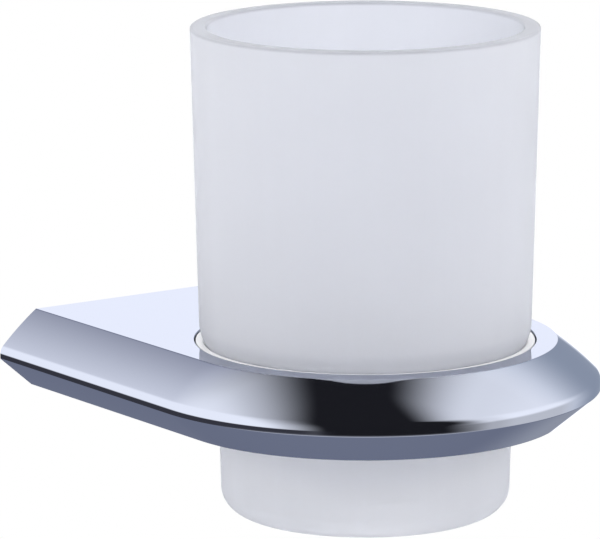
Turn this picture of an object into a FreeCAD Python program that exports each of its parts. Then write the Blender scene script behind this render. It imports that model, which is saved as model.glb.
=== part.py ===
import FreeCAD
import Part
import math
import os

# Wall tumbler holder with a frosted glass tumbler, in millimetres.
# The wall is the plane y = 0 and the holder reaches out along -Y, with +Z up.
# The origin is on the wall, midway between the two wall screws.

# Tumbler
rim_radius = 35.0
tumbler_height = 98.8
shoulder_radius = 33.5
shoulder_rise = 5.7
shoulder_inset = 2.35
seat_width = 1.2
foot_height = 33.2
foot_draft = 0.85
base_round = 5.0
glass_wall = 3.3
foot_wall = 3.6
glass_floor = 7.0
cavity_drop = 4.5
cavity_round = 7.0
lip_round = 0.5

# Holder body: a plate with a bevelled edge, straight at the sides and round at the front
bore_reach = 63.1
rim_width = 4.3
holder_thickness = 15.9
holder_roof = 2.5
top_round = 0.5
nose_reach = 8.8
nose_drop = 9.5
nose_round = 2.6
bevel_start_angle = 35.5
bevel_end_angle = 45.0
underside_reach = 1.3
underside_round = 0.4
mouth_round = 0.35
pocket_room = 5.0
pocket_round = 1.2

# Liner ring between the glass and the metal
seat_drop = 2.0
liner_recess = 0.15
liner_wall = 1.4
liner_floor = 1.5
liner_setback = 1.0
liner_round = 0.25
flange_margin = 0.7

# Wall bracket: a bar that the holder's rear pocket slides over
bracket_length = 58.0
bracket_height = 8.2
bracket_depth = 8.0
bracket_round = 1.5
bracket_chamfer = 0.6

# Wall screws, countersunk with a cross recess
screw_spacing = 36.0
screw_length = 25.0
thread_radius = 2.0
neck_radius = 1.8
head_radius = 3.6
head_land = 0.3
screw_point = 4.0
screw_tip_radius = 0.3
cross_span = 4.0
cross_width = 0.9
cross_depth = 1.5

# Grub screws that clamp the holder to the bracket from below
grub_spacing = 44.0
grub_radius = 2.0
grub_recess = 0.1
grub_chamfer = 0.5
hex_across_flats = 2.0
hex_depth_share = 0.55

# Clearances
slip_clearance = 0.3
thread_clearance = 0.1
head_clearance = 0.05
screw_hole_clearance = 0.25
cut_overrun = 1.0

# Levels and places worked out from the sizes above
bracket_top = bracket_height / 2
bracket_bottom = -bracket_height / 2
holder_top = bracket_top + holder_roof
holder_bottom = holder_top - holder_thickness
pocket_floor = bracket_bottom - slip_clearance
seat_level = holder_top - seat_drop
flange_level = holder_top - liner_recess
flange_bottom = seat_level - liner_floor
base_level = seat_level - foot_height
rim_level = base_level + tumbler_height
shoulder_level = seat_level + shoulder_rise
foot_radius = shoulder_radius - shoulder_inset - seat_width
base_radius = foot_radius - foot_draft
flange_radius = shoulder_radius + flange_margin
shoulder_arc = (shoulder_inset**2 + shoulder_rise**2) / (2 * shoulder_inset)
liner_inner = foot_radius + slip_clearance
liner_outer = liner_inner + liner_wall
bore_radius = liner_outer + slip_clearance
mouth_radius = flange_radius + slip_clearance
top_radius = mouth_radius + rim_width
head_height = head_radius - neck_radius
grub_length = bracket_bottom - holder_bottom - grub_recess
grub_level = holder_bottom + grub_recess


def point(across, height):
    """Point of an outline in the XZ plane."""
    return FreeCAD.Vector(across, 0, height)


def arc(start, middle, end):
    """Circular edge through three points."""
    return Part.Arc(start, middle, end).toShape()


def corner_arc(before, corner, after, radius):
    """Tangent arc that rounds the corner between two straight lines."""
    back = (before - corner).normalize()
    ahead = (after - corner).normalize()
    half_angle = back.getAngle(ahead) / 2
    setback = radius / math.tan(half_angle)
    inward = (back + ahead).normalize()
    centre = corner + inward * (radius / math.sin(half_angle))
    return arc(corner + back * setback, centre - inward * radius, corner + ahead * setback)


def turning_arc(start, start_angle, end_angle, radius):
    """Arc that starts sloping down by start_angle and steepens to end_angle, in degrees."""
    angles = [math.radians(a) for a in (start_angle, (start_angle + end_angle) / 2, end_angle)]
    centre = start + point(-math.sin(angles[0]), -math.cos(angles[0])) * radius
    points = [centre + point(math.sin(a), math.cos(a)) * radius for a in angles]
    return arc(*points)


def outline(pieces):
    """Closed wire through points and edges, with straight lines between them."""
    spans = []
    for piece in pieces:
        if isinstance(piece, FreeCAD.Vector):
            spans.append((piece, piece, None))
        else:
            spans.append((piece.valueAt(piece.FirstParameter), piece.valueAt(piece.LastParameter), piece))
    edges = []
    for (_, end, edge), (start, _, _) in zip(spans, spans[1:] + spans[:1]):
        if edge is not None:
            edges.append(edge)
        if end.distanceToPoint(start) > Part.Precision.confusion():
            edges.append(Part.makeLine(end, start))
    return Part.Wire(edges)


def lathe(pieces, angle=360):
    """Solid of an outline turned about the Z axis."""
    face = Part.Face(outline(pieces))
    return face.revolve(FreeCAD.Vector(0, 0, 0), FreeCAD.Vector(0, 0, 1), angle)


def to_bore(shape):
    """Place a shape made on the Z axis on the tumbler's axis."""
    shape.translate(FreeCAD.Vector(0, -bore_reach, 0))
    return shape


def rounded_bar(length, depth, bottom, top, radius):
    """Bar against the wall, reaching out by depth, with its four edges along Y rounded."""
    bar = Part.makeBox(length, depth, top - bottom, FreeCAD.Vector(-length / 2, -depth, bottom))
    return bar.makeFillet(radius, [edge for edge in bar.Edges if runs_along_y(edge)])


def runs_along_y(edge):
    """Whether a straight edge points out from the wall."""
    direction = edge.tangentAt(edge.FirstParameter)
    return abs(direction.y) > abs(direction.x) + abs(direction.z)


def shoulder_reach(height, offset):
    """Radius of the tumbler's round shoulder at a height, moved out by an offset."""
    centre_radius = shoulder_radius - shoulder_arc
    return centre_radius + math.sqrt((shoulder_arc + offset)**2 - (height - shoulder_level)**2)


def shoulder_curve(first, last, offset):
    """Arc of the shoulder, moved out by an offset, from one level to another."""
    levels = (first, (first + last) / 2, last)
    return arc(*[point(shoulder_reach(level, offset), level) for level in levels])


def tumbler():
    """Stepped glass: a tapered cup on a narrower foot, with an even wall and a thick base."""
    axis_base = point(0, base_level)
    base_corner = point(base_radius, base_level)
    foot_top = point(foot_radius, seat_level)
    shoulder_top = point(shoulder_radius, shoulder_level)
    rim_outer = point(rim_radius, rim_level)
    rim_inner = point(rim_radius - glass_wall, rim_level)
    cavity_high = point(shoulder_radius - glass_wall, shoulder_level)
    cavity_low = point(foot_radius - foot_wall, seat_level - cavity_drop)
    cavity_middle = (cavity_high.z + cavity_low.z) / 2
    cavity_corner = point(base_radius - foot_wall, base_level + glass_floor)
    axis_floor = point(0, base_level + glass_floor)
    step_high = point(cavity_high.x, cavity_middle)
    step_low = point(cavity_low.x, cavity_middle)
    step = Part.BezierCurve()
    step.setPoles([cavity_high, step_high, step_low, cavity_low])
    return to_bore(lathe([
        axis_base,
        corner_arc(axis_base, base_corner, foot_top, base_round),
        foot_top,
        shoulder_curve(seat_level, shoulder_level, 0),
        corner_arc(shoulder_top, rim_outer, rim_inner, lip_round),
        corner_arc(rim_outer, rim_inner, cavity_high, lip_round),
        step.toShape(),
        corner_arc(cavity_low, cavity_corner, axis_floor, cavity_round),
        axis_floor,
    ]))


def liner_ring():
    """Flanged sleeve in the holder's bore, with a dished seat for the tumbler's shoulder."""
    sleeve_end = holder_bottom + liner_setback
    flange_low = point(flange_radius, flange_bottom)
    flange_high = point(flange_radius, flange_level)
    dish_edge = point(shoulder_reach(flange_level, slip_clearance), flange_level)
    return to_bore(lathe([
        point(liner_inner, seat_level),
        point(liner_inner, sleeve_end),
        point(liner_outer, sleeve_end),
        point(liner_outer, flange_bottom),
        flange_low,
        corner_arc(flange_low, flange_high, dish_edge, liner_round),
        shoulder_curve(flange_level, seat_level, slip_clearance),
    ]))


def edge_profile():
    """Half of the holder's section, from its middle line out to the bevelled edge."""
    nose_run = nose_round * (1 - math.sin(math.radians(bevel_end_angle)))
    bevel_run = nose_reach - nose_run
    chord_angle = math.radians((bevel_start_angle + bevel_end_angle) / 2)
    half_turn = math.radians((bevel_end_angle - bevel_start_angle) / 2)
    bevel_arc = bevel_run / math.cos(chord_angle) / (2 * math.sin(half_turn))
    top_edge = point(top_radius, holder_top)
    bevel = turning_arc(top_edge, bevel_start_angle, bevel_end_angle, bevel_arc)
    nose = turning_arc(bevel.valueAt(bevel.LastParameter), bevel_end_angle, 90, nose_round)
    crisp_edge = point(top_radius + nose_reach, holder_top - nose_drop)
    under_edge = point(top_radius + underside_reach, holder_bottom)
    axis_bottom = point(0, holder_bottom)
    return [
        point(0, holder_top),
        bevel,
        nose,
        crisp_edge,
        corner_arc(crisp_edge, under_edge, axis_bottom, underside_round),
        axis_bottom,
    ]


def bevelled_plate():
    """Outside of the holder: straight sides from the wall and a round front about the bore."""
    half = Part.Face(outline(edge_profile())).extrude(FreeCAD.Vector(0, -bore_reach, 0))
    other_half = half.mirror(FreeCAD.Vector(0, 0, 0), FreeCAD.Vector(1, 0, 0))
    front = lathe(edge_profile(), -180)
    plate = half.fuse([other_half, to_bore(front)]).removeSplitter()
    return plate.makeFillet(top_round, [edge for edge in plate.Edges if on_top_rim(edge)])


def on_top_rim(edge):
    """Whether an edge runs along the holder's top outline, away from the wall."""
    middle = edge.valueAt((edge.FirstParameter + edge.LastParameter) / 2)
    near_wall = middle.y > -Part.Precision.confusion()
    return abs(middle.z - holder_top) < Part.Precision.confusion() and not near_wall


def bore_cut():
    """Space for the liner ring: a through bore, a flange seat and a rounded mouth."""
    below = holder_bottom - cut_overrun
    above = holder_top + cut_overrun
    flare = mouth_round + cut_overrun
    low_flare = point(bore_radius + flare, holder_bottom)
    bore_end = point(bore_radius, flange_bottom)
    seat_end = point(mouth_radius, flange_bottom)
    high_flare = point(mouth_radius + flare, holder_top)
    return to_bore(lathe([
        point(0, below),
        point(low_flare.x, below),
        low_flare,
        corner_arc(low_flare, point(bore_radius, holder_bottom), bore_end, mouth_round),
        bore_end,
        seat_end,
        corner_arc(seat_end, point(mouth_radius, holder_top), high_flare, mouth_round),
        high_flare,
        point(high_flare.x, above),
        point(0, above),
    ]))


def holder_body():
    """Bevelled plate with the bore, the rear pocket and the two tapped holes from below."""
    pocket_length = bracket_length + 2 * slip_clearance
    pocket_depth = bracket_depth + pocket_room
    pocket = rounded_bar(pocket_length, pocket_depth, pocket_floor, bracket_top, pocket_round)
    grub_holes = [grub_at(side, grub_hole()) for side in (-1, 1)]
    return bevelled_plate().cut([bore_cut(), pocket] + grub_holes)


def grub_hole():
    """Hole for a grub screw, from below the holder up into its pocket."""
    hole_radius = grub_radius + thread_clearance
    hole_length = pocket_floor - holder_bottom + 2 * cut_overrun
    return Part.makeCylinder(hole_radius, hole_length, point(0, holder_bottom - cut_overrun))


def wall_bracket():
    """Bar on the wall with two countersunk holes and eased front edges."""
    bar = rounded_bar(bracket_length, bracket_depth, bracket_bottom, bracket_top, bracket_round)
    front = [edge for edge in bar.Edges if edge.BoundBox.YMax < -bracket_depth / 2]
    bar = bar.makeChamfer(bracket_chamfer, front)
    return bar.cut([screw_at(side, screw_hole()) for side in (-1, 1)])


def screw_hole():
    """Countersunk clearance hole, made along Z with the bracket's front face at zero."""
    hole_radius = thread_radius + screw_hole_clearance
    sink_radius = head_radius + head_clearance
    sink_land = head_land + head_clearance
    return lathe([
        point(0, -cut_overrun),
        point(sink_radius, -cut_overrun),
        point(sink_radius, sink_land),
        point(hole_radius, sink_land + sink_radius - hole_radius),
        point(hole_radius, bracket_depth + cut_overrun),
        point(0, bracket_depth + cut_overrun),
    ])


def screw_at(side, shape):
    """Turn a shape made along Z to point into the wall, and move it to one screw's place."""
    shape.rotate(FreeCAD.Vector(0, 0, 0), FreeCAD.Vector(1, 0, 0), -90)
    shape.translate(FreeCAD.Vector(side * screw_spacing / 2, -bracket_depth, 0))
    return shape


def wall_screw():
    """Countersunk screw along Z: head, plain neck, threaded part and point, with a cross recess."""
    body = lathe([
        point(0, 0),
        point(head_radius, 0),
        point(head_radius, head_land),
        point(neck_radius, head_land + head_height),
        point(neck_radius, bracket_depth),
        point(thread_radius, bracket_depth),
        point(thread_radius, screw_length - screw_point),
        point(screw_tip_radius, screw_length),
        point(0, screw_length),
    ])
    slot = Part.makeBox(cross_span, cross_width, cross_depth + cut_overrun,
                        FreeCAD.Vector(-cross_span / 2, -cross_width / 2, -cut_overrun))
    cross = slot.copy()
    cross.rotate(FreeCAD.Vector(0, 0, 0), FreeCAD.Vector(0, 0, 1), 90)
    return body.cut([slot, cross])


def grub_at(side, shape):
    """Move a shape made on the Z axis to one grub screw's place under the bracket."""
    shape.translate(FreeCAD.Vector(side * grub_spacing / 2, -bracket_depth / 2, 0))
    return shape


def grub_screw():
    """Headless screw with a hex socket below and a flat point against the bracket."""
    top = grub_level + grub_length
    body = lathe([
        point(0, grub_level),
        point(grub_radius - grub_chamfer, grub_level),
        point(grub_radius, grub_level + grub_chamfer),
        point(grub_radius, top - grub_chamfer),
        point(grub_radius - grub_chamfer, top),
        point(0, top),
    ])
    corner = hex_across_flats / 2 / math.cos(math.pi / 6)
    angles = [math.pi / 3 * step for step in range(6)]
    below = grub_level - cut_overrun
    corners = [FreeCAD.Vector(corner * math.cos(a), corner * math.sin(a), below) for a in angles]
    socket_face = Part.Face(Part.makePolygon(corners + corners[:1]))
    socket = socket_face.extrude(point(0, grub_length * hex_depth_share + cut_overrun))
    return body.cut(socket)


def build():
    """All pieces by name, each where it sits on the finished object."""
    return {
        "tumbler": tumbler(),
        "liner_ring": liner_ring(),
        "holder_body": holder_body(),
        "wall_bracket": wall_bracket(),
        "wall_screw_left": screw_at(-1, wall_screw()),
        "wall_screw_right": screw_at(1, wall_screw()),
        "grub_screw_left": grub_at(-1, grub_screw()),
        "grub_screw_right": grub_at(1, grub_screw()),
    }


os.makedirs("parts", exist_ok=True)
for name, shape in build().items():
    solid = shape.Solids[0]
    solid.exportStep("parts/" + name + ".step")
    print(name, "solids", len(shape.Solids), "valid", solid.isValid(), "volume", round(solid.Volume, 2))
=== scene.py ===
import math

import bmesh
import bpy
import numpy as np
from bpy.props import FloatProperty, FloatVectorProperty, IntProperty, PointerProperty
from mathutils import Matrix, Vector


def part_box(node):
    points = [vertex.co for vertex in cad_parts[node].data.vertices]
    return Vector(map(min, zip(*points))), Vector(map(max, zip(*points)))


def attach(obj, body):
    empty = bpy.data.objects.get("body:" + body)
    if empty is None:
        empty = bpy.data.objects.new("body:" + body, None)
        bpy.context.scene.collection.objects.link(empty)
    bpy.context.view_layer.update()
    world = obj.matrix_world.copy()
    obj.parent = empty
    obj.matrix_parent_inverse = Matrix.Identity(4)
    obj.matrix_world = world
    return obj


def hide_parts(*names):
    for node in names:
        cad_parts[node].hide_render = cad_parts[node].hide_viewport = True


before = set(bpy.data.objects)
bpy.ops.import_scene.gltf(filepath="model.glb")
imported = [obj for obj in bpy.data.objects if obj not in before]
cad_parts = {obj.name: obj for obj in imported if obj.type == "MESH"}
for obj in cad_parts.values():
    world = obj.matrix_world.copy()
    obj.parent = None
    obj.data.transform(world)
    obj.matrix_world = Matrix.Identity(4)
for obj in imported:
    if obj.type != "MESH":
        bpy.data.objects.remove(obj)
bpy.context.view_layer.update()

bl_info = {
    "name": "Wall tumbler holder",
    "version": (1, 0, 0),
    "blender": (4, 5, 0),
    "location": "View3D > Sidebar > Tumbler",
    "description": "Frosted glass tumbler in a chrome wall holder, with its liner, bracket and screws",
    "category": "Add Mesh",
}

# Boxes of the pieces, in metres: the wall is y = 0 and the tumbler stands on the axis (0, AXIS_Y)
TUMBLER_LOW, TUMBLER_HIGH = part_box("tumbler")
LINER_LOW, LINER_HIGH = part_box("liner_ring")
HOLDER_LOW, HOLDER_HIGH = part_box("holder_body")
BRACKET_LOW, BRACKET_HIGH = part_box("wall_bracket")
GRUB_LOW, GRUB_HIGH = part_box("grub_screw_right")
SCREW_LOW, SCREW_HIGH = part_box("wall_screw_right")
AXIS_Y = (TUMBLER_LOW.y + TUMBLER_HIGH.y) / 2
REACH = HOLDER_HIGH.y - AXIS_Y

FULL_TURN = 2 * math.pi
WELD_DISTANCE = 1e-6
SHARP_ANGLE = math.radians(32.0)
SIDES = ((-1, "left"), (1, "right"))
FRAME_WIDTH_PX = 600
FRAME_HEIGHT_PX = 539
AIM_PIXEL = (365.27, 337.67)
SENSOR_WIDTH_MM = 36.0
VIEW_END = 100.0

# Screws: facets round them, points along their threads and across a head, and the form of a tooth
SCREW_FACETS = 60
SCREW_POINTS = 240
GRUB_POINTS = 130
HEAD_POINTS = 48
HOLE_FACETS = 64
CREST_SHARE = 1.6
FLANK_SHARE = 4.6

# Surfaces: the span of mottle that shows, heights of grain and scratches, and metal's tint at a grazing angle
MOTTLE_SPAN = (0.3, 0.7)
GRAIN_HEIGHT = 0.0001
SCRATCH_HEIGHT = 0.00002
GRAZING_TINT = (0.75, 0.76, 0.80, 1.0)

# Painted shade on the glass's lip: how far below the rim it starts, and where it is full
LIP_SHADE_START = 0.0008
LIP_SHADE_FULL = 0.0002

# Smooth steps of the studio along a direction: from, to, and the value at either end
STUDIO_STEPS = {
    "left_shift_behind": (-0.62, -0.25, 0.135, 0.0),
    "left_shift_ahead": (0.0, 0.6, 0.0, 0.08),
    "right_shift_ahead": (0.0, 0.6, 0.0, 0.5),
    "left_wide": (-0.62, -0.22, 0.66, 0.0),
    "left_core": (-0.72, -0.50, 0.25, 0.0),
    "right_wide": (0.10, 0.50, 0.0, 0.74),
    "right_core": (0.50, 0.86, 0.0, 0.18),
    "right_ahead": (-0.85, -0.35, 0.0, 1.0),
    "right_above": (0.10, 0.35, 0.6, 1.0),
    "back_behind": (-0.96, -0.90, 1.0, 0.0),
    "back_left": (0.10, 0.22, 1.0, 0.0),
    "corner_right": (-0.2, 0.3, 0.0, 1.0),
    "dark_ahead": (-0.55, -0.30, 0.0, 1.0),
    "gap_below": (-0.16, -0.06, 1.0, 0.0),
    "gap_left": (-0.5, -0.2, 1.0, 0.0),
    "gap_ahead": (-0.75, -0.50, 0.0, 1.0),
    "table_right": (0.0, 0.25, 0.0, 1.0),
    "table_behind": (-0.85, -0.55, 1.0, 0.0),
    "table_ahead": (0.1, 0.5, 0.0, 1.0),
    "table_below": (-0.34, -0.26, 1.0, 0.0),
}

# Light of the studio's parts, where 1 is white
STUDIO_LIGHT = {
    "panel": (1.55, 1.57, 1.64),
    "left_corner": (0.27, 0.29, 0.39),
    "right_corner": (0.47, 0.53, 0.63),
    "dark": (0.018, 0.018, 0.022),
    "gap": (0.06, 0.06, 0.075),
    "table": (0.26, 0.285, 0.375),
    "far_table": (0.48, 0.51, 0.58),
    "near_table": (0.70, 0.72, 0.80),
}

# Even light: at the horizon and overhead, what is added below, and its shares behind and at the camera
SOFT_ABOVE = (1.22, 1.42)
SOFT_BELOW = (-0.15, 0.0)
SOFT_FACING = (1.04, 0.78)


def length(description, metres):
    """Length property that a user may change."""
    return FloatProperty(description=description, default=metres, unit="LENGTH", precision=5)


def angle(description, degrees):
    """Angle property that a user may change."""
    return FloatProperty(description=description, default=math.radians(degrees), subtype="ANGLE")


def colour(description, value):
    """Colour property that a user may change."""
    return FloatVectorProperty(description=description, default=value, subtype="COLOR", min=0, max=1)


class TumblerSettings(bpy.types.PropertyGroup):
    """Sizes and colour of the glass."""
    shoulder_radius: length("Radius of the cup just above the shoulder", 0.0335)
    shoulder_rise: length("Height of the round shoulder above its seat", 0.0057)
    shoulder_inset: length("How far the round shoulder draws in", 0.00235)
    seat_width: length("Flat step under the shoulder", 0.0012)
    foot_height: length("From the base up to the seat", 0.0332)
    foot_draft: length("How far the foot narrows to the base", 0.00085)
    base_round: length("Radius of the edge of the base", 0.005)
    wall: length("Thickness of the cup's wall", 0.0033)
    foot_wall: length("Thickness of the foot's wall", 0.0036)
    floor: length("Thickness of the base", 0.007)
    cavity_drop: length("How far below the seat the inside narrows", 0.0045)
    cavity_round: length("Radius inside the base", 0.007)
    lip_round: length("Radius of the lip's two edges", 0.0005)
    steps: IntProperty(description="Facets around the glass", default=288, min=24)
    colour: colour("Colour of the frosted glass", (0.930, 0.941, 0.985))


class LinerSettings(bpy.types.PropertyGroup):
    """Sizes and colour of the liner ring."""
    wall: length("Thickness of the sleeve", 0.0014)
    floor: length("Thickness of the flange under the seat", 0.0015)
    gap: length("Clearance around the glass", 0.0003)
    edge_round: length("Radius of the moulded edges", 0.00012)
    colour: colour("Colour of the plastic", (0.955, 0.95, 0.95))


class HolderSettings(bpy.types.PropertyGroup):
    """Sizes and colour of the chrome holder."""
    nose_reach: length("How far the edge stands out from the top face", 0.0088)
    nose_drop: length("Depth of the crisp edge below the top face", 0.0095)
    nose_round: length("Radius of the nose above the crisp edge", 0.0026)
    top_round: length("Radius of the top face's edge", 0.0005)
    crisp_round: length("Radius of the crisp edge", 0.00022)
    bevel_start: angle("Slope of the upper bevel at the top", 35.5)
    bevel_end: angle("Slope of the upper bevel at the nose", 45.0)
    underside_reach: length("How far the underside stands out from the top face", 0.0013)
    underside_round: length("Radius of the underside's edge", 0.0004)
    mouth_round: length("Radius of the bore's edges", 0.0002)
    slip_gap: length("Clearance around the liner and the bracket", 0.0003)
    pocket_room: length("Depth of the pocket beyond the bracket", 0.005)
    pocket_round: length("Radius of the pocket's corners", 0.0012)
    thread_gap: length("Clearance around the grub screws", 0.0001)
    colour: colour("Colour of the plating", (0.54, 0.565, 0.635))


class FixingSettings(bpy.types.PropertyGroup):
    """Sizes and colours of the bracket and the screws."""
    bracket_round: length("Radius of the bar's long edges", 0.0015)
    bracket_chamfer: length("Chamfer around the bar's front", 0.0006)
    hole_gap: length("Clearance around the screw threads", 0.00025)
    head_gap: length("Clearance around the screw heads", 0.00005)
    head_land: length("Straight edge of the screw head", 0.0003)
    neck_radius: length("Plain part under the head", 0.0018)
    thread_radius: length("Outer radius of the wall screws", 0.002)
    thread_depth: length("Depth of the wall screws' thread", 0.0006)
    thread_pitch: length("Pitch of the wall screws' thread", 0.0016)
    screw_point: length("Length of the tapered point", 0.004)
    tip_radius: length("Radius at the very tip", 0.0003)
    cross_span: length("Length of each arm of the cross recess, across", 0.004)
    cross_width: length("Width of the cross recess", 0.0009)
    cross_depth: length("Depth of the cross recess", 0.0015)
    grub_chamfer: length("Chamfer at the grub screws' ends", 0.0005)
    grub_depth: length("Depth of the grub screws' thread", 0.0004)
    grub_pitch: length("Pitch of the grub screws' thread", 0.0007)
    hex_flats: length("Width across the hex socket", 0.002)
    hex_depth: FloatProperty(description="Depth of the socket, as a share", default=0.55, min=0, max=1)
    bracket_colour: colour("Colour of the cast bar", (0.50, 0.51, 0.53))
    screw_colour: colour("Colour of the wall screws", (0.62, 0.61, 0.59))
    grub_colour: colour("Colour of the grub screws", (0.52, 0.52, 0.53))


class StageSettings(bpy.types.PropertyGroup):
    """Camera and surroundings."""
    azimuth: angle("Camera angle round the object", -35.6)
    elevation: angle("Camera angle above the horizon", 12.09)
    distance: length("Camera to the tumbler's axis at the holder's top", 1.0295)
    lens_px: FloatProperty(description="Focal length in pixels of the frame", default=5105.0)
    floor_drop: length("Floor below the object", 0.9)
    floor_size: length("Side of the floor", 40.0)
    floor_colour: colour("Colour of the floor", (0.80, 0.80, 0.81))


# Outlines and surfaces

def line(start, end, steps):
    """Points from start to end, both included."""
    return np.linspace(start, end, steps)


def turned_arc(centre, radius, first, last, steps):
    """Arc that slopes down by an angle s: centre + radius (sin s, cos s), for s from first to last."""
    slope = np.linspace(first, last, steps)
    return np.asarray(centre) + radius * np.stack([np.sin(slope), np.cos(slope)], axis=-1)


def lean(slope):
    """Unit vector (sin s, cos s), square to a line that slopes down by an angle s."""
    return np.array([math.sin(slope), math.cos(slope)])


def corner_arc(before, corner, after, radius, steps=9):
    """Tangent arc of the given radius in the corner between two straight lines."""
    before, corner, after = (np.asarray(p, float) for p in (before, corner, after))
    back = (before - corner) / np.linalg.norm(before - corner)
    ahead = (after - corner) / np.linalg.norm(after - corner)
    half = math.acos(np.clip(back @ ahead, -1, 1)) / 2
    inward = (back + ahead) / np.linalg.norm(back + ahead)
    centre = corner + inward * radius / math.sin(half)
    start = corner + back * radius / math.tan(half) - centre
    end = corner + ahead * radius / math.tan(half) - centre
    swing = math.pi - 2 * half
    t = np.linspace(0, 1, steps)[:, None]
    return centre + (np.sin((1 - t) * swing) * start + np.sin(t * swing) * end) / math.sin(swing)


def bezier(poles, steps):
    """Cubic curve through the first and last of four poles."""
    t = np.linspace(0, 1, steps)[:, None]
    weights = ((1 - t)**3, 3 * t * (1 - t)**2, 3 * t**2 * (1 - t), t**3)
    return sum(w * np.asarray(p, float) for w, p in zip(weights, poles))


def spun(profile, steps, centre=(0.0, 0.0)):
    """Surface of revolution about Z: (r, z) at angle a goes to (x + r cos a, y + r sin a, z)."""
    angles = np.linspace(0, FULL_TURN, steps, endpoint=False)[:, None]
    r, z = profile[:, 0], profile[:, 1]
    x, y = centre[0] + np.cos(angles) * r, centre[1] + np.sin(angles) * r
    return np.stack([x, y, np.broadcast_to(z, x.shape)], axis=-1)


def spun_along_y(radius, angles, x, y):
    """Surface about a line along Y: (x + r cos a, y, r sin a)."""
    across = x + radius * np.cos(angles)
    return np.stack([across, np.broadcast_to(y, across.shape), radius * np.sin(angles)], axis=-1)


def ruled(first, last, shares=(0.0, 0.02, 0.5, 0.98, 1.0)):
    """Flat strip between two rows of points: first + s (last - first) at each share s."""
    s = np.asarray(shares)[:, None, None]
    return first + s * (last - first)


def circle_facing(loop, centre, radius):
    """Points of a circle in XY that face the points of a loop round it, and their angles."""
    angles = np.unwrap(np.arctan2(loop[:, 1] - centre[1], loop[:, 0] - centre[0]))
    return angles, polar(angles, radius, centre, loop[:, 2])


def polar(angles, radius, centre, height):
    """Points (x + r cos a, y + r sin a, height)."""
    x, y = centre[0] + radius * np.cos(angles), centre[1] + radius * np.sin(angles)
    return np.stack([x, y, np.broadcast_to(height, x.shape)], axis=-1)


def grid_faces(rows, columns, close_rows, close_columns, offset):
    """Quads of a grid of points, closed round where asked."""
    i = np.arange(rows if close_rows else rows - 1)[:, None]
    j = np.arange(columns if close_columns else columns - 1)[None, :]
    i, j = np.broadcast_arrays(i, j)
    i_next, j_next = (i + 1) % rows, (j + 1) % columns
    corners = (i * columns + j, i_next * columns + j, i_next * columns + j_next, i * columns + j_next)
    return np.stack(corners, axis=-1).reshape(-1, 4) + offset


def piece(name, patches, caps=()):
    """Mesh object of several grids welded along their shared edges.

    A patch is (points, close_rows, close_columns), and a cap is one flat face through a loop of points."""
    points, faces, offset = [], [], 0
    for grid, close_rows, close_columns in patches:
        rows, columns = grid.shape[:2]
        points.append(grid.reshape(-1, 3))
        faces.extend(grid_faces(rows, columns, close_rows, close_columns, offset).tolist())
        offset += rows * columns
    for loop in caps:
        points.append(loop)
        faces.append(list(range(offset, offset + len(loop))))
        offset += len(loop)
    mesh = bpy.data.meshes.new(name)
    mesh.from_pydata(np.concatenate(points).tolist(), [], faces)
    tidy_mesh(mesh)
    made = bpy.data.objects.new(name, mesh)
    bpy.context.scene.collection.objects.link(made)
    return made


def tidy_mesh(mesh):
    """Weld seams and poles, turn faces outwards and shade smooth below the sharp angle."""
    work = bmesh.new()
    work.from_mesh(mesh)
    bmesh.ops.remove_doubles(work, verts=work.verts, dist=WELD_DISTANCE)
    bmesh.ops.dissolve_degenerate(work, edges=work.edges, dist=WELD_DISTANCE)
    bmesh.ops.recalc_face_normals(work, faces=work.faces)
    work.to_mesh(mesh)
    work.free()
    mesh.shade_smooth()
    mesh.set_sharp_from_angle(angle=SHARP_ANGLE)


def finish_piece(made, material, body, slot, *nodes):
    """Give a piece its material, hang it under its body's empty and hide the CAD nodes it replaces."""
    made.data.materials.clear()
    made.data.materials.append(material)
    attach(made, body)
    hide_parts(*nodes)
    return made


# Shader helpers

def link(tree, output, target):
    """Join an output socket to an input socket."""
    tree.links.new(output, target)


def math_node(tree, operation, first, second):
    """Math node whose operands are sockets or numbers."""
    made = tree.nodes.new("ShaderNodeMath")
    made.operation = operation
    for socket, value in zip(made.inputs, (first, second)):
        if isinstance(value, (int, float)):
            socket.default_value = value
        else:
            tree.links.new(value, socket)
    return made.outputs[0]


def ramp(tree, source, low, high, start=0.0, end=1.0):
    """Smooth step of a socket from start to end as it goes from low to high."""
    made = tree.nodes.new("ShaderNodeMapRange")
    made.interpolation_type = "SMOOTHSTEP"
    link(tree, source, made.inputs["Value"])
    for name, value in zip(("From Min", "From Max", "To Min", "To Max"), (low, high, start, end)):
        made.inputs[name].default_value = value
    return made.outputs["Result"]


def mix_colour(tree, factor, first, second):
    """Mix two colours, each a socket or a value, by a socket."""
    made = tree.nodes.new("ShaderNodeMix")
    made.data_type = "RGBA"
    link(tree, factor, made.inputs["Factor"])
    for socket, value in ((made.inputs[6], first), (made.inputs[7], second)):
        if isinstance(value, bpy.types.NodeSocket):
            link(tree, value, socket)
        else:
            socket.default_value = (*value, 1.0)
    return made.outputs[2]


def new_group(name, inputs, outputs):
    """Shader node group with float inputs, given by default value, and float outputs."""
    tree = bpy.data.node_groups.new(name, "ShaderNodeTree")
    for label, value in inputs.items():
        socket = tree.interface.new_socket(label, in_out="INPUT", socket_type="NodeSocketFloat")
        socket.default_value = value
    for label in outputs:
        tree.interface.new_socket(label, in_out="OUTPUT", socket_type="NodeSocketFloat")
    return tree, tree.nodes.new("NodeGroupInput"), tree.nodes.new("NodeGroupOutput")


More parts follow.
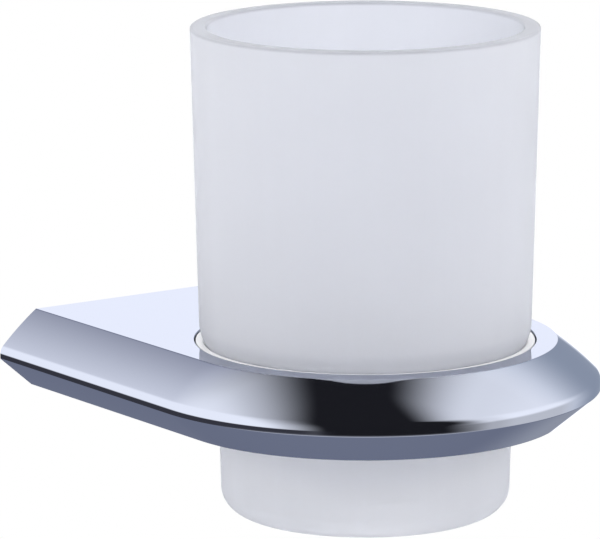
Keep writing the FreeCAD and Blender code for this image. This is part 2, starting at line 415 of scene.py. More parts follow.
def object_noise(tree, scale, detail, stretch=(1.0, 1.0, 1.0)):
    """Noise on Object coordinates, its scale a socket or a number, stretched along the axes."""
    coordinates = tree.nodes.new("ShaderNodeTexCoord")
    mapping = tree.nodes.new("ShaderNodeMapping")
    mapping.inputs["Scale"].default_value = stretch
    noise = tree.nodes.new("ShaderNodeTexNoise")
    noise.inputs["Detail"].default_value = detail
    link(tree, coordinates.outputs["Object"], mapping.inputs["Vector"])
    link(tree, mapping.outputs["Vector"], noise.inputs["Vector"])
    if isinstance(scale, (int, float)):
        noise.inputs["Scale"].default_value = scale
    else:
        link(tree, scale, noise.inputs["Scale"])
    return noise.outputs["Fac"]


def grain_group():
    """Fine grain of a blasted or moulded surface: a height and a slow mottle."""
    inputs = {"Grain scale": 2500.0, "Mottle scale": 40.0}
    tree, start, end = new_group("Fine grain", inputs, ("Height", "Mottle"))
    link(tree, object_noise(tree, start.outputs["Grain scale"], detail=2.0), end.inputs["Height"])
    link(tree, object_noise(tree, start.outputs["Mottle scale"], detail=3.0), end.inputs["Mottle"])
    return tree


def polish_group():
    """Handling of bright metal: faint smears that dull the polish, and hair scratches."""
    inputs = {"Smear scale": 45.0, "Scratch scale": 900.0, "Clean": 0.03, "Dull": 0.10}
    tree, start, end = new_group("Polish", inputs, ("Roughness", "Scratch", "Smear"))
    cloud = object_noise(tree, start.outputs["Smear scale"], detail=4.0, stretch=(1.0, 1.0, 2.2))
    smear = ramp(tree, cloud, low=0.52, high=0.78)
    scratch = object_noise(tree, start.outputs["Scratch scale"], detail=1.0, stretch=(1.0, 0.04, 0.3))
    spread = math_node(tree, "SUBTRACT", start.outputs["Dull"], start.outputs["Clean"])
    dulled = math_node(tree, "MULTIPLY", spread, smear)
    link(tree, math_node(tree, "ADD", start.outputs["Clean"], dulled), end.inputs["Roughness"])
    link(tree, scratch, end.inputs["Scratch"])
    link(tree, smear, end.inputs["Smear"])
    return tree


def start_material(name):
    """New node material with its Principled shader."""
    made = bpy.data.materials.new(name)
    made.use_nodes = True
    return made, made.node_tree, made.node_tree.nodes["Principled BSDF"]


def place_group(tree, name, **values):
    """Shared node group in a material, built when first asked for, with its own input values."""
    builders = {"Fine grain": grain_group, "Polish": polish_group}
    made = tree.nodes.new("ShaderNodeGroup")
    made.node_tree = bpy.data.node_groups.get(name) or builders[name]()
    for label, value in values.items():
        made.inputs[label.replace("_", " ").capitalize()].default_value = value
    return made


def add_bump(tree, shader, height, strength, distance):
    """Bump from a height into the shader's normal."""
    bump = tree.nodes.new("ShaderNodeBump")
    bump.inputs["Strength"].default_value = strength
    bump.inputs["Distance"].default_value = distance
    link(tree, height, bump.inputs["Height"])
    link(tree, bump.outputs["Normal"], shader.inputs["Normal"])


def darker(tint, part):
    """Colour dimmed to a part of itself."""
    return tuple(channel * part for channel in tint)


def grained(name, rough, bump, **scales):
    """Start a satin material: roughness and bump from a fine grain, and its slow mottle for the colour."""
    made, tree, shader = start_material(name)
    grain = place_group(tree, "Fine grain", **scales)
    mottle = grain.outputs["Mottle"]
    link(tree, ramp(tree, mottle, *MOTTLE_SPAN, *rough), shader.inputs["Roughness"])
    add_bump(tree, shader, grain.outputs["Height"], bump, GRAIN_HEIGHT)
    return made, tree, shader, mottle


def frosted_glass(tint):
    """Blasted glass: pale and satin, with faint upright draw lines and painted shade that darkens the lip."""
    made, tree, shader, mottle = grained(
        "frosted_glass", rough=(0.52, 0.62), bump=0.12, Grain_scale=2200.0, Mottle_scale=28.0)
    drawn = object_noise(tree, scale=260.0, detail=2.0, stretch=(1.0, 1.0, 0.012))
    tone = math_node(tree, "DIVIDE", math_node(tree, "ADD", mottle, drawn), 2.0)
    body = mix_colour(tree, ramp(tree, tone, low=0.35, high=0.65), darker(tint, part=0.975), tuple(tint))
    place = tree.nodes.new("ShaderNodeSeparateXYZ")
    link(tree, tree.nodes.new("ShaderNodeTexCoord").outputs["Object"], place.inputs[0])
    # Painted shade: the colour darkens towards the rim to stand for the dimmer light on the upward-facing lip
    lip = ramp(tree, place.outputs["Z"], TUMBLER_HIGH.z - LIP_SHADE_START, TUMBLER_HIGH.z - LIP_SHADE_FULL)
    link(tree, mix_colour(tree, lip, body, darker(tint, part=0.73)), shader.inputs["Base Color"])
    for label, value in (("IOR", 1.5), ("Specular IOR Level", 0.35), ("Transmission Weight", 0.60)):
        shader.inputs[label].default_value = value
    return made


def white_plastic(tint):
    """Moulded white plastic with a soft sheen."""
    made, tree, shader, mottle = grained(
        "white_liner", rough=(0.38, 0.48), bump=0.1, Grain_scale=1500.0, Mottle_scale=90.0)
    link(tree, mix_colour(tree, mottle, darker(tint, part=0.95), tuple(tint)), shader.inputs["Base Color"])
    return made


def bright_metal(name, tint, scratch, **polish_values):
    """Polished metal: mirror bright, with faint smears and hair scratches."""
    made, tree, shader = start_material(name)
    polish = place_group(tree, "Polish", **polish_values)
    smeared = mix_colour(tree, polish.outputs["Smear"], tuple(tint), darker(tint, part=0.97))
    link(tree, smeared, shader.inputs["Base Color"])
    link(tree, polish.outputs["Roughness"], shader.inputs["Roughness"])
    shader.inputs["Metallic"].default_value = 1.0
    shader.inputs["Specular Tint"].default_value = GRAZING_TINT
    add_bump(tree, shader, polish.outputs["Scratch"], scratch, SCRATCH_HEIGHT)
    return made


def cast_metal(tint):
    """Tumbled casting: grey, satin and slightly pitted."""
    made, tree, shader, mottle = grained(
        "bracket_zinc", rough=(0.34, 0.52), bump=0.3, Grain_scale=1800.0, Mottle_scale=160.0)
    link(tree, mix_colour(tree, mottle, darker(tint, part=0.82), tuple(tint)), shader.inputs["Base Color"])
    shader.inputs["Metallic"].default_value = 1.0
    return made


# Shapes of the pieces

def seat_level(glass):
    """Height of the flat step under the tumbler's shoulder."""
    return TUMBLER_LOW.z + glass.foot_height


def shoulder_points(glass, first, last, offset, steps):
    """Round shoulder, moved out by an offset: an arc that ends upright at the shoulder's top."""
    arc = (glass.shoulder_inset**2 + glass.shoulder_rise**2) / (2 * glass.shoulder_inset)
    top = seat_level(glass) + glass.shoulder_rise
    height = np.linspace(first, last, steps)
    reach = glass.shoulder_radius - arc + np.sqrt((arc + offset)**2 - (height - top)**2)
    return np.stack([reach, height], axis=-1)


def foot_radius(glass):
    """Radius of the tumbler's foot under its shoulder."""
    return glass.shoulder_radius - glass.shoulder_inset - glass.seat_width


def tumbler_profile(glass):
    """Half section of the glass from the middle of its base, round the lip, to the middle of its floor."""
    base, rim = TUMBLER_LOW.z, TUMBLER_HIGH.z
    rim_radius = (TUMBLER_HIGH.x - TUMBLER_LOW.x) / 2
    seat = seat_level(glass)
    shoulder_top = (glass.shoulder_radius, seat + glass.shoulder_rise)
    foot_top = (foot_radius(glass), seat)
    base_corner = (foot_radius(glass) - glass.foot_draft, base)
    rim_outer, rim_inner = (rim_radius, rim), (rim_radius - glass.wall, rim)
    cavity_high = (glass.shoulder_radius - glass.wall, seat + glass.shoulder_rise)
    cavity_low = (foot_radius(glass) - glass.foot_wall, seat - glass.cavity_drop)
    middle = (cavity_high[1] + cavity_low[1]) / 2
    cavity_corner = (base_corner[0] - glass.foot_wall, base + glass.floor)
    base_arc = corner_arc((0, base), base_corner, foot_top, glass.base_round, steps=24)
    lip_outer = corner_arc(shoulder_top, rim_outer, rim_inner, glass.lip_round, steps=12)
    lip_inner = corner_arc(rim_outer, rim_inner, cavity_high, glass.lip_round, steps=12)
    floor_arc = corner_arc(cavity_low, cavity_corner, (0, base + glass.floor), glass.cavity_round, steps=20)
    return np.concatenate([
        line((0, base), base_arc[0], steps=8)[:-1],
        base_arc,
        line(base_arc[-1], foot_top, steps=12)[1:],
        shoulder_points(glass, seat, shoulder_top[1], 0, steps=24),
        line(shoulder_top, lip_outer[0], steps=40)[1:-1],
        lip_outer,
        lip_inner,
        line(lip_inner[-1], cavity_high, steps=40)[1:-1],
        bezier([cavity_high, (cavity_high[0], middle), (cavity_low[0], middle), cavity_low], steps=28),
        line(cavity_low, floor_arc[0], steps=10)[1:-1],
        floor_arc,
        line(floor_arc[-1], (0, base + glass.floor), steps=8)[1:],
    ])


def liner_profile(liner, glass):
    """Closed section of the flanged sleeve, with a dished seat that follows the tumbler's shoulder."""
    seat, top, bottom = seat_level(glass), LINER_HIGH.z, LINER_LOW.z
    flange = (LINER_HIGH.x - LINER_LOW.x) / 2
    inner = foot_radius(glass) + liner.gap
    outer = inner + liner.wall
    under = seat - liner.floor
    dish = shoulder_points(glass, top, seat, liner.gap, steps=12)
    edge = liner.edge_round
    return np.concatenate([
        corner_arc((inner, seat), (inner, bottom), (outer, bottom), edge),
        corner_arc((inner, bottom), (outer, bottom), (outer, under), edge),
        [(outer, under)],
        corner_arc((outer, under), (flange, under), (flange, top), edge),
        corner_arc((flange, under), (flange, top), dish[0], edge),
        dish[1:],
        corner_arc(dish[-1], (inner, seat), (inner, bottom), edge),
    ])


def edge_profile(holder):
    """Bevelled edge from the top face's outline to the underside, as (out, height).

    The top round, upper bevel and nose are arcs that meet in one tangent. A short upright land, a crisp
    edge and a flat lower bevel follow."""
    top, bottom = HOLDER_HIGH.z, HOLDER_LOW.z
    nose = (HOLDER_HIGH.x - HOLDER_LOW.x) / 2
    top_radius = nose - holder.nose_reach
    nose_run = holder.nose_round * (1 - math.sin(holder.bevel_end))
    chord = (holder.nose_reach - nose_run) / math.cos((holder.bevel_start + holder.bevel_end) / 2)
    bevel = chord / (2 * math.sin((holder.bevel_end - holder.bevel_start) / 2))
    bevel_centre = np.array([top_radius, top]) - bevel * lean(holder.bevel_start)
    bevel_end = bevel_centre + bevel * lean(holder.bevel_end)
    nose_centre = bevel_end - holder.nose_round * lean(holder.bevel_end)
    round_drop = top - holder.top_round - bevel_centre[1]
    round_run = math.sqrt((bevel - holder.top_round)**2 - round_drop**2)
    round_centre = bevel_centre + np.array([round_run, round_drop])
    meeting = math.atan2(round_run, round_drop)
    nose_tip = nose_centre + np.array([holder.nose_round, 0.0])
    crisp = (nose, top - holder.nose_drop)
    under = (top_radius + holder.underside_reach, bottom)
    return np.concatenate([
        turned_arc(round_centre, holder.top_round, 0.0, meeting, steps=10),
        turned_arc(bevel_centre, bevel, meeting, holder.bevel_end, steps=36)[1:],
        turned_arc(nose_centre, holder.nose_round, holder.bevel_end, math.pi / 2, steps=24)[1:],
        corner_arc(nose_tip, crisp, under, holder.crisp_round, steps=7),
        corner_arc(crisp, under, (0.0, bottom), holder.underside_round, steps=7),
    ])


def plan_stations(side_steps, front_steps):
    """Origins and directions round the holder: down the left side, round the front, up the right."""
    side = np.linspace(0.0, 1.0, side_steps)[:-1] * REACH
    front = np.linspace(0.0, math.pi, front_steps)
    left_origin = np.stack([np.zeros_like(side), HOLDER_HIGH.y - side], axis=-1)
    front_origin = np.broadcast_to((0.0, AXIS_Y), (front_steps, 2))
    left_way = np.broadcast_to((-1.0, 0.0), left_origin.shape)
    front_way = np.stack([-np.cos(front), -np.sin(front)], axis=-1)
    right_way = np.broadcast_to((1.0, 0.0), left_origin.shape)
    origins = np.concatenate([left_origin, front_origin, left_origin[::-1]])
    return origins, np.concatenate([left_way, front_way, right_way])


def rounded_end(half, low, high, radius, steps):
    """Right-hand end of a rounded bar in XZ, from the top line round to the bottom line, evenly spaced."""
    upper = corner_arc((0, high), (half, high), (half, low), radius, steps=12)
    lower = corner_arc((half, high), (half, low), (0, low), radius, steps=12)
    path = np.concatenate([upper, lower])
    run = np.concatenate([[0.0], np.cumsum(np.linalg.norm(np.diff(path, axis=0), axis=1))])
    even = np.linspace(0.0, run[-1], steps)
    return np.stack([np.interp(even, run, path[:, 0]), np.interp(even, run, path[:, 1])], axis=-1)


def bore_profile(holder, liner, glass):
    """Wall of the bore from the top face's edge, past the flange seat, to the underside's edge."""
    mouth = (LINER_HIGH.x - LINER_LOW.x) / 2 + holder.slip_gap
    bore = foot_radius(glass) + liner.gap + liner.wall + holder.slip_gap
    seat = seat_level(glass) - liner.floor
    top, bottom, flare = HOLDER_HIGH.z, HOLDER_LOW.z, holder.mouth_round
    return np.concatenate([
        corner_arc((mouth + 2 * flare, top), (mouth, top), (mouth, seat), flare, steps=9),
        [(mouth, seat), (bore, seat)],
        corner_arc((bore, seat), (bore, bottom), (bore + 2 * flare, bottom), flare, steps=9),
    ])


def holder_patches(holder, liner, glass):
    """Closed skin of the holder: the edge carried round the plan, flat faces, bore and rear pocket."""
    profile = edge_profile(holder)
    origins, ways = plan_stations(side_steps=41, front_steps=181)
    across = origins[:, None, :] + ways[:, None, :] * profile[None, :, :1]
    height = np.broadcast_to(profile[:, 1], across.shape[:2])
    skin = np.concatenate([across, height[..., None]], axis=-1)
    wall_y = HOLDER_HIGH.y
    centre = (0.0, AXIS_Y)

    # Top and under faces between the outline and the bore
    back_top = line(skin[-1, 0], skin[0, 0], steps=41)[1:-1]
    back_under = line(skin[-1, -1], skin[0, -1], steps=41)[1:-1]
    top_loop = np.concatenate([skin[:, 0], back_top])
    under_loop = np.concatenate([skin[:, -1], back_under])
    bore = bore_profile(holder, liner, glass)
    top_angles, top_circle = circle_facing(top_loop, centre, bore[0, 0])
    under_angles, under_circle = circle_facing(under_loop, centre, bore[-1, 0])
    part = np.linspace(0.0, 1.0, len(bore))[:, None]
    angles = top_angles + part * (under_angles - top_angles)
    bore_wall = polar(angles, bore[:, :1], centre, bore[:, 1:])

    # Rear face round the pocket, and the pocket itself
    half = (BRACKET_HIGH.x - BRACKET_LOW.x) / 2 + holder.slip_gap
    floor, ceiling = BRACKET_LOW.z - holder.slip_gap, BRACKET_HIGH.z
    end = rounded_end(half, floor, ceiling, holder.pocket_round, len(profile))
    rear = np.concatenate([skin[0, :1], back_top[::-1], skin[-1], back_under, skin[0, :0:-1]])
    roof = line(end[0] * (-1, 1), end[0], len(back_top) + 2)[:-1]
    base = line(end[-1], end[-1] * (-1, 1), len(back_under) + 2)[1:-1]
    pocket_xz = np.concatenate([roof, end, base, end[:0:-1] * (-1, 1)])
    pocket = np.stack([pocket_xz[:, 0], np.full(len(pocket_xz), wall_y), pocket_xz[:, 1]], axis=-1)
    depth = BRACKET_HIGH.y - BRACKET_LOW.y + holder.pocket_room
    deep_pocket = pocket - np.array([0.0, depth, 0.0])
    patches = [
        (skin, False, False),
        (ruled(top_circle, top_loop), False, True),
        (bore_wall, False, True),
        (ruled(under_circle, under_loop), False, True),
        (ruled(rear, pocket), False, True),
        (ruled(pocket, deep_pocket), False, True),
    ]
    return patches, [deep_pocket]


def cut_grub_holes(made, holder):
    """Cut the two tapped holes through the wall under the pocket."""
    radius = (GRUB_HIGH.x - GRUB_LOW.x) / 2 + holder.thread_gap
    low, high = HOLDER_LOW.z - holder.top_round, BRACKET_LOW.z + holder.pocket_round
    ease = holder.underside_round / 2
    outline = np.array([
        (0.0, low), (radius + 2 * ease, low), (radius + ease, HOLDER_LOW.z),
        (radius, HOLDER_LOW.z + ease), (radius, high), (0.0, high),
    ])
    centre_y = (GRUB_LOW.y + GRUB_HIGH.y) / 2
    centre_x = (GRUB_LOW.x + GRUB_HIGH.x) / 2
    for side in (-1, 1):
        surface = spun(outline, HOLE_FACETS, (side * centre_x, centre_y))
        cutter = piece("hole_cutter", [(surface, True, False)])
        cut = made.modifiers.new("hole", "BOOLEAN")
        cut.operation = "DIFFERENCE"
        cut.solver = "EXACT"
        cut.object = cutter
        evaluated = made.evaluated_get(bpy.context.evaluated_depsgraph_get())
        mesh = bpy.data.meshes.new_from_object(evaluated)
        made.modifiers.clear()
        made.data = mesh
        bpy.data.objects.remove(cutter)
    mesh.name = made.name
    mesh.set_sharp_from_angle(angle=SHARP_ANGLE)


def bracket_patches(fixing):
    """Bar in two halves, each ruled between its outline and one countersunk hole."""
    half = (BRACKET_HIGH.x - BRACKET_LOW.x) / 2
    low, high = BRACKET_LOW.z, BRACKET_HIGH.z
    front_y, back_y = BRACKET_LOW.y, BRACKET_HIGH.y
    chamfer = fixing.bracket_chamfer
    head_radius = (SCREW_HIGH.x - SCREW_LOW.x) / 2
    screw_x = (SCREW_LOW.x + SCREW_HIGH.x) / 2
    sink = head_radius + fixing.head_gap
    hole = fixing.thread_radius + fixing.hole_gap
    sink_end = fixing.head_land + fixing.head_gap

    long_steps, end_steps, middle_steps = 20, 33, 12
    rim = 2 * (long_steps - 1) + end_steps

    def outline(inset, y):
        """Right half of the bar's section at a depth, drawn in by an inset."""
        above, below = (0, high - inset), (0, low + inset)
        end = rounded_end(half - inset, below[1], above[1], fixing.bracket_round - inset, end_steps)
        xz = np.concatenate([
            line(above, end[0], long_steps)[:-1],
            end,
            line(end[-1], below, long_steps)[1:],
            line(below, above, middle_steps)[1:-1],
        ])
        return np.stack([xz[:, 0], np.full(len(xz), y), xz[:, 1]], axis=-1)

    front, shoulder, back = outline(chamfer, front_y), outline(0, front_y + chamfer), outline(0, back_y)
    walls = [
        (sink, front_y), (sink, front_y + sink_end),
        (hole, front_y + sink_end + sink - hole), (hole, back_y),
    ]
    angles = np.arctan2(front[:, 2], front[:, 0] - screw_x)
    circles = [spun_along_y(radius, angles, screw_x, y) for radius, y in walls]
    right = [
        (ruled(circles[0], front), False, True),
        (ruled(circles[-1], back), False, True),
        (np.stack(circles), False, True),
        (np.stack([front[:rim], shoulder[:rim], back[:rim]]), False, False),
    ]
    mirror = np.array([-1.0, 1.0, 1.0])
    return right + [(points * mirror, rows, columns) for points, rows, columns in right]


def helix_radius(angles, along, core, crest, pitch):
    """Thread of one start: the radius rises to a crest once a pitch, as along / pitch = angle / turn."""
    phase = (along / pitch - angles / FULL_TURN) % 1.0
    tooth = np.clip(CREST_SHARE - np.abs(phase - 0.5) * FLANK_SHARE, 0.0, 1.0)
    return core + (crest - core) * tooth


def screw_patches(fixing, side):
    """Countersunk screw along Y: cross recess, head, neck, helical thread and tapered point."""
    head_radius = (SCREW_HIGH.x - SCREW_LOW.x) / 2
    screw_x = side * (SCREW_LOW.x + SCREW_HIGH.x) / 2
    start, tip = SCREW_LOW.y, SCREW_HIGH.y
    cone_end = fixing.head_land + head_radius - fixing.neck_radius
    wall = -start
    total = tip - start
    angles = np.linspace(0, FULL_TURN, SCREW_FACETS, endpoint=False)[:, None]

    # Plain head and neck
    plain = np.array([(head_radius, 0.0), (head_radius, fixing.head_land), (fixing.neck_radius, cone_end),
                      (fixing.neck_radius, wall - fixing.thread_pitch / 4)])
    core = fixing.thread_radius - fixing.thread_depth

    # Thread from the wall to the tip, dying out over the point
    along = np.linspace(wall, total, SCREW_POINTS)[None, :]
    taper = np.clip((total - along) / fixing.screw_point, 0.0, 1.0)
    crest = fixing.tip_radius + (fixing.thread_radius - fixing.tip_radius) * taper
    root = fixing.tip_radius + (core - fixing.tip_radius) * np.sqrt(taper)
    root = np.minimum(root, crest)
    fade = np.clip((along - wall) / fixing.thread_pitch, 0.0, 1.0)
    radius = helix_radius(angles, along, root, root + (crest - root) * fade, fixing.thread_pitch)
    thread = spun_along_y(radius, angles, screw_x, start + along)
    shank = spun_along_y(plain[:, 0], angles, screw_x, start + plain[:, 1])
    collar = np.stack([shank[:, -1], thread[:, 0]], axis=1)

    # Head face, sunk inside the cross
    rho = np.linspace(0, head_radius, HEAD_POINTS)[None, :]
    x, z = rho * np.cos(angles), rho * np.sin(angles)
    ease = fixing.cross_width / 8

    def slot(along_arm, across_arm):
        """How far a point lies inside one arm of the cross, from 0 to 1."""
        inside = np.clip((fixing.cross_span / 2 - np.abs(along_arm)) / ease, 0, 1)
        return inside * np.clip((fixing.cross_width / 2 - np.abs(across_arm)) / ease, 0, 1)

    sunk = fixing.cross_depth * np.maximum(slot(x, z), slot(z, x))
    face = np.stack([screw_x + x, start + sunk, z], axis=-1)
    return [(grid, True, False) for grid in (face, shank, collar, thread)], [thread[:, -1]]


def grub_patches(fixing, side):
    """Headless screw along Z: hex socket below, helical thread and a flat point."""
    radius = (GRUB_HIGH.x - GRUB_LOW.x) / 2
    centre = (side * (GRUB_LOW.x + GRUB_HIGH.x) / 2, (GRUB_LOW.y + GRUB_HIGH.y) / 2)
    low, high = GRUB_LOW.z, GRUB_HIGH.z
    angles = np.linspace(0, FULL_TURN, SCREW_FACETS, endpoint=False)
    along = np.linspace(0, high - low, GRUB_POINTS)
    near_end = np.minimum(along, high - low - along)
    crest = radius - np.clip(fixing.grub_chamfer - near_end, 0, None)
    core = np.minimum(radius - fixing.grub_depth, crest)
    wall_radius = helix_radius(angles[:, None], along[None, :], core, crest, fixing.grub_pitch)
    barrel = polar(angles[:, None], wall_radius, centre, low + along)

    # Socket: a hexagon that faces the rim, its walls and a shallow cone
    sector = FULL_TURN / 6
    hexagon = fixing.hex_flats / 2 / np.cos((angles + sector / 2) % sector - sector / 2)
    depth = (high - low) * fixing.hex_depth
    mouth = polar(angles, hexagon, centre, low)
    end = polar(angles, hexagon, centre, low + depth)
    point = np.broadcast_to((*centre, low + depth + fixing.hex_flats / 6), end.shape)
    return [
        (barrel, True, False),
        (ruled(barrel[:, 0], mouth, (0.0, 1.0)), False, True),
        (ruled(mouth, end, (0.0, 1.0)), False, True),
        (ruled(end, point, (0.0, 1.0)), False, True),
    ], [barrel[:, -1]]


# Operators

class HOLDER_OT_tumbler(bpy.types.Operator):
    """Make the frosted glass tumbler"""
    bl_idname = "holder.make_tumbler"
    bl_label = "Tumbler"

    def execute(self, context):
        glass = context.scene.tumbler_settings
        surface = spun(tumbler_profile(glass), glass.steps, (0.0, AXIS_Y))
        made = piece("tumbler_glass", [(surface, True, False)])
        finish_piece(made, frosted_glass(glass.colour), "tumbler", "frosted_glass", "tumbler")
        return {"FINISHED"}


class HOLDER_OT_liner(bpy.types.Operator):
    """Make the white liner ring"""
    bl_idname = "holder.make_liner"
    bl_label = "Liner ring"

    def execute(self, context):
        liner, glass = context.scene.liner_settings, context.scene.tumbler_settings
        surface = spun(liner_profile(liner, glass), glass.steps, (0.0, AXIS_Y))
        made = piece("liner_sleeve", [(surface, True, True)])
        finish_piece(made, white_plastic(liner.colour), "liner", "white_liner", "liner_ring")
        return {"FINISHED"}


class HOLDER_OT_body(bpy.types.Operator):
    """Make the chrome holder"""
    bl_idname = "holder.make_body"
    bl_label = "Holder body"

    def execute(self, context):
        scene = context.scene
        holder = scene.holder_settings
        patches, caps = holder_patches(holder, scene.liner_settings, scene.tumbler_settings)
        made = piece("holder_casting", patches, caps)
        cut_grub_holes(made, holder)
        chrome = bright_metal("polished_chrome", holder.colour, scratch=0.03,
                              Clean=0.035, Dull=0.075, Smear_scale=22.0)
        finish_piece(made, chrome, "holder", "polished_chrome", "holder_body")
        return {"FINISHED"}


class HOLDER_OT_bracket(bpy.types.Operator):
    """Make the wall bracket"""
    bl_idname = "holder.make_bracket"
    bl_label = "Wall bracket"

    def execute(self, context):
        fixing = context.scene.fixing_settings
        made = piece("bracket_bar", bracket_patches(fixing))
        finish_piece(made, cast_metal(fixing.bracket_colour), "wall_fixing", "bracket_zinc", "wall_bracket")
        return {"FINISHED"}


class HOLDER_OT_wall_screws(bpy.types.Operator):
    """Make the two wall screws"""
    bl_idname = "holder.make_wall_screws"
    bl_label = "Wall screws"

    def execute(self, context):
        fixing = context.scene.fixing_settings
        steel = bright_metal("screw_steel", fixing.screw_colour, scratch=0.10,
                             Clean=0.18, Dull=0.34, Smear_scale=220.0)
        for side, name in SIDES:
            patches, caps = screw_patches(fixing, side)
            made = piece("countersunk_screw_" + name, patches, caps)
            finish_piece(made, steel, "wall_fixing", "screw_steel", "wall_screw_" + name)
        return {"FINISHED"}


class HOLDER_OT_grub_screws(bpy.types.Operator):
    """Make the two grub screws"""
    bl_idname = "holder.make_grub_screws"
    bl_label = "Grub screws"

    def execute(self, context):
        fixing = context.scene.fixing_settings
        steel = bright_metal("grub_steel", fixing.grub_colour, scratch=0.10,
                             Clean=0.20, Dull=0.36, Smear_scale=260.0)
        for side, name in SIDES:
            patches, caps = grub_patches(fixing, side)
            made = piece("socket_grub_screw_" + name, patches, caps)
            finish_piece(made, steel, "grub_" + name, "grub_steel", "grub_screw_" + name)
        return {"FINISHED"}


class HOLDER_OT_stage(bpy.types.Operator):
    """Make the floor, the surroundings and the camera"""
    bl_idname = "holder.make_stage"
    bl_label = "Stage"

    def execute(self, context):
        stage = context.scene.stage_settings
        make_floor(stage)
        make_surroundings(stage)
        make_camera(stage)
        context.scene.view_settings.view_transform = "Standard"
        return {"FINISHED"}


def view_axes(stage):
    """Unit vectors to the right of the view, and from the object to the camera."""
    a, e = stage.azimuth, stage.elevation
    right = Vector((math.cos(a), math.sin(a), 0.0))
    back = Vector((math.sin(a) * math.cos(e), -math.cos(a) * math.cos(e), math.sin(e)))
    return right, back


def make_camera(stage):
    """Camera at the photograph's angle, turned so that the aimed point falls on its pixel."""
    right, back = view_axes(stage)
    up = back.cross(right)
    aim = Vector((0.0, AXIS_Y, HOLDER_HIGH.z))
    across = AIM_PIXEL[0] - FRAME_WIDTH_PX / 2
    down = AIM_PIXEL[1] - FRAME_HEIGHT_PX / 2
    towards = (back * stage.lens_px + right * across - up * down).normalized()
    side = (right - towards * right.dot(towards)).normalized()
    data = bpy.data.cameras.new("camera")
    data.sensor_width = SENSOR_WIDTH_MM
    data.lens = stage.lens_px * data.sensor_width / FRAME_WIDTH_PX
    data.clip_end = VIEW_END
    camera = bpy.data.objects.new("camera", data)
    turn = Matrix((side, towards.cross(side), towards)).transposed()
    camera.matrix_world = Matrix.Translation(aim + back * stage.distance) @ turn.to_4x4()
    bpy.context.scene.collection.objects.link(camera)
    bpy.context.scene.camera = camera


def make_floor(stage):
    """Plain pale floor far below the object, white to the camera and open from underneath."""
    half = stage.floor_size / 2
    corners = np.array([[(-half, -half, 0), (-half, half, 0)], [(half, -half, 0), (half, half, 0)]], float)
    corners[..., 2] = TUMBLER_LOW.z - stage.floor_drop
    floor = piece("floor", [(corners, False, False)])
    if floor.data.polygons[0].normal.z < 0:
        floor.data.flip_normals()
    material, tree, shader = start_material("floor")
    mottle = place_group(tree, "Fine grain", Mottle_scale=0.6).outputs["Mottle"]
    tone = mix_colour(tree, mottle, darker(stage.floor_colour, part=0.97), tuple(stage.floor_colour))
    link(tree, tone, shader.inputs["Base Color"])
    shader.inputs["Roughness"].default_value = 0.9
    seen = tree.nodes.new("ShaderNodeLightPath").outputs["Is Camera Ray"]
    below = tree.nodes.new("ShaderNodeNewGeometry").outputs["Backfacing"]
    white = mix_shader(tree, seen, shader.outputs[0], tree.nodes.new("ShaderNodeEmission").outputs[0])
    clear = tree.nodes.new("ShaderNodeBsdfTransparent").outputs[0]
    link(tree, mix_shader(tree, below, white, clear), tree.nodes["Material Output"].inputs["Surface"])
    floor.data.materials.append(material)
    for ray in ("glossy", "diffuse", "transmission", "shadow"):
        setattr(floor, "visible_" + ray, False)


def mix_shader(tree, factor, first, second):
    """Mix two shaders by a socket."""
    made = tree.nodes.new("ShaderNodeMixShader")
    for socket, output in zip(made.inputs, (factor, first, second)):
        link(tree, output, socket)
    return made.outputs[0]


def straight(tree, source, low, high, start, end):
    """Straight change of a socket from start to end as it goes from low to high."""
    result = ramp(tree, source, low, high, start, end)
    result.node.interpolation_type = "LINEAR"
    return result


def product(tree, first, *others):
    """Product of several sockets."""
    for other in others:
        first = math_node(tree, "MULTIPLY", first, other)
    return first


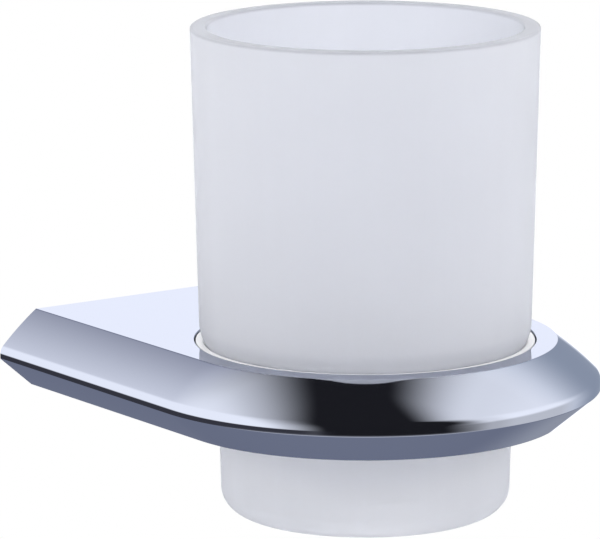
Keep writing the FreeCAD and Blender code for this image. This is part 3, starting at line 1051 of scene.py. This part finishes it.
def make_surroundings(stage):
    """Studio read by direction, in the camera's own level axes: across, toward the camera and up.

    Metal sees bright panels left, right and behind, a dark gap at the camera and a grey table.
    Matt surfaces get an even light, strongest from above and behind, and the camera sees white."""
    world = bpy.data.worlds.new("studio")
    bpy.context.scene.world = world
    world.use_nodes = True
    tree = world.node_tree
    right_axis, back_axis = view_axes(stage)
    level_axis = Vector((back_axis.x, back_axis.y, 0.0)).normalized()
    direction = tree.nodes.new("ShaderNodeTexCoord").outputs["Generated"]

    def along(axis):
        """How far the direction points along an axis."""
        made = tree.nodes.new("ShaderNodeVectorMath")
        made.operation = "DOT_PRODUCT"
        link(tree, direction, made.inputs[0])
        made.inputs[1].default_value = axis
        return made.outputs["Value"]

    across, toward, height = along(right_axis), along(level_axis), along((0.0, 0.0, 1.0))

    def step(source, name):
        """One of the studio's steps, read along a direction."""
        return ramp(tree, source, *STUDIO_STEPS[name])

    # Panels that the metal mirrors, further apart towards the camera, with a dark gap there
    left = math_node(tree, "ADD", across, step(toward, "left_shift_behind"))
    left = math_node(tree, "ADD", left, step(toward, "left_shift_ahead"))
    right = math_node(tree, "SUBTRACT", across, step(toward, "right_shift_ahead"))
    left_panel = math_node(tree, "ADD", step(left, "left_wide"), step(left, "left_core"))
    right_panel = math_node(tree, "ADD", step(right, "right_wide"), step(right, "right_core"))
    right_panel = product(tree, right_panel, step(toward, "right_ahead"), step(height, "right_above"))
    back_panel = product(tree, step(toward, "back_behind"), step(across, "back_left"))
    panels = math_node(tree, "MAXIMUM", left_panel, math_node(tree, "MAXIMUM", right_panel, back_panel))
    light = STUDIO_LIGHT
    corner = mix_colour(tree, step(across, "corner_right"), light["left_corner"], light["right_corner"])
    shade = mix_colour(tree, step(toward, "dark_ahead"), corner, light["dark"])
    studio = mix_colour(tree, panels, shade, light["panel"])
    gap = product(tree, step(height, "gap_below"), step(across, "gap_left"), step(toward, "gap_ahead"))
    studio = mix_colour(tree, gap, studio, light["gap"])

    # Table under the object
    far_right = product(tree, step(across, "table_right"), step(toward, "table_behind"))
    tabletop = mix_colour(tree, far_right, light["table"], light["far_table"])
    tabletop = mix_colour(tree, step(toward, "table_ahead"), tabletop, light["near_table"])
    studio = mix_colour(tree, step(height, "table_below"), studio, tabletop)

    # Even light for matt surfaces, and for metal that is seen by way of one
    upper = straight(tree, height, 0.0, 1.0, *SOFT_ABOVE)
    lower = straight(tree, height, -1.0, 0.0, *SOFT_BELOW)
    facing = straight(tree, toward, -1.0, 1.0, *SOFT_FACING)
    soft = product(tree, math_node(tree, "ADD", upper, lower), facing)
    path = tree.nodes.new("ShaderNodeLightPath")
    mirrored = math_node(tree, "LESS_THAN", path.outputs["Diffuse Depth"], 1.0)
    lit = mix_colour(tree, product(tree, path.outputs["Is Glossy Ray"], mirrored), soft, studio)
    seen = mix_colour(tree, path.outputs["Is Camera Ray"], lit, (1.0, 1.0, 1.0))
    link(tree, seen, tree.nodes["Background"].inputs["Color"])


class HOLDER_PT_panel(bpy.types.Panel):
    """Sizes of the holder and buttons that make its pieces"""
    bl_label = "Wall tumbler holder"
    bl_space_type = "VIEW_3D"
    bl_region_type = "UI"
    bl_category = "Tumbler"

    def draw(self, context):
        for operator in OPERATORS:
            self.layout.operator(operator.bl_idname)
        for name, group in SETTINGS.items():
            box = self.layout.box()
            box.label(text=group.__doc__)
            for key in group.__annotations__:
                label = key.replace("_", " ").capitalize()
                box.prop(getattr(context.scene, name), key, text=label)


SETTINGS = {
    "tumbler_settings": TumblerSettings,
    "liner_settings": LinerSettings,
    "holder_settings": HolderSettings,
    "fixing_settings": FixingSettings,
    "stage_settings": StageSettings,
}
OPERATORS = (
    HOLDER_OT_stage,
    HOLDER_OT_body,
    HOLDER_OT_liner,
    HOLDER_OT_tumbler,
    HOLDER_OT_bracket,
    HOLDER_OT_wall_screws,
    HOLDER_OT_grub_screws,
)


def register():
    """Add the settings, operators and panel to Blender."""
    for name, group in SETTINGS.items():
        bpy.utils.register_class(group)
        setattr(bpy.types.Scene, name, PointerProperty(type=group))
    for operator in OPERATORS:
        bpy.utils.register_class(operator)
    bpy.utils.register_class(HOLDER_PT_panel)


def unregister():
    """Take the settings, operators and panel out of Blender."""
    bpy.utils.unregister_class(HOLDER_PT_panel)
    for operator in reversed(OPERATORS):
        bpy.utils.unregister_class(operator)
    for name, group in SETTINGS.items():
        delattr(bpy.types.Scene, name)
        bpy.utils.unregister_class(group)


def main():
    """Make every piece around the frame."""
    register()
    bpy.ops.holder.make_stage()
    bpy.ops.holder.make_body()
    bpy.ops.holder.make_liner()
    bpy.ops.holder.make_tumbler()
    bpy.ops.holder.make_bracket()
    bpy.ops.holder.make_wall_screws()
    bpy.ops.holder.make_grub_screws()


if __name__ == "__main__":
    main()
